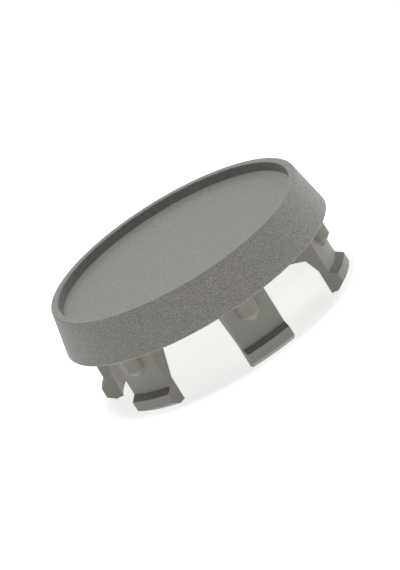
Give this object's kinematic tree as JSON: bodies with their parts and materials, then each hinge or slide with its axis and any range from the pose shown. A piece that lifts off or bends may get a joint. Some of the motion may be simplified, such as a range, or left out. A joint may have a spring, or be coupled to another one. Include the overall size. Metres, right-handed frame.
{
  "type": "wheel center cap",
  "caption": "Round snap-in wheel center cap: conical skirt, raised rim round a shallow bare recess, and a ring of hooked spring clips with centring bosses underneath.",
  "frame": {"origin": "on the cap's axis, in the seat plane, where the lower edge of the skirt meets the wheel", "axes": "+Z along the cap's axis, out of the face; one clip points along -Y"},
  "size_m": [0.06, 0.06, 0.023],
  "materials": {
    "grained_plastic": "fine moulded grain"
  },
  "bodies": {
    "root": {"center_cap": "grained_plastic"}
  },
  "joints": []
}
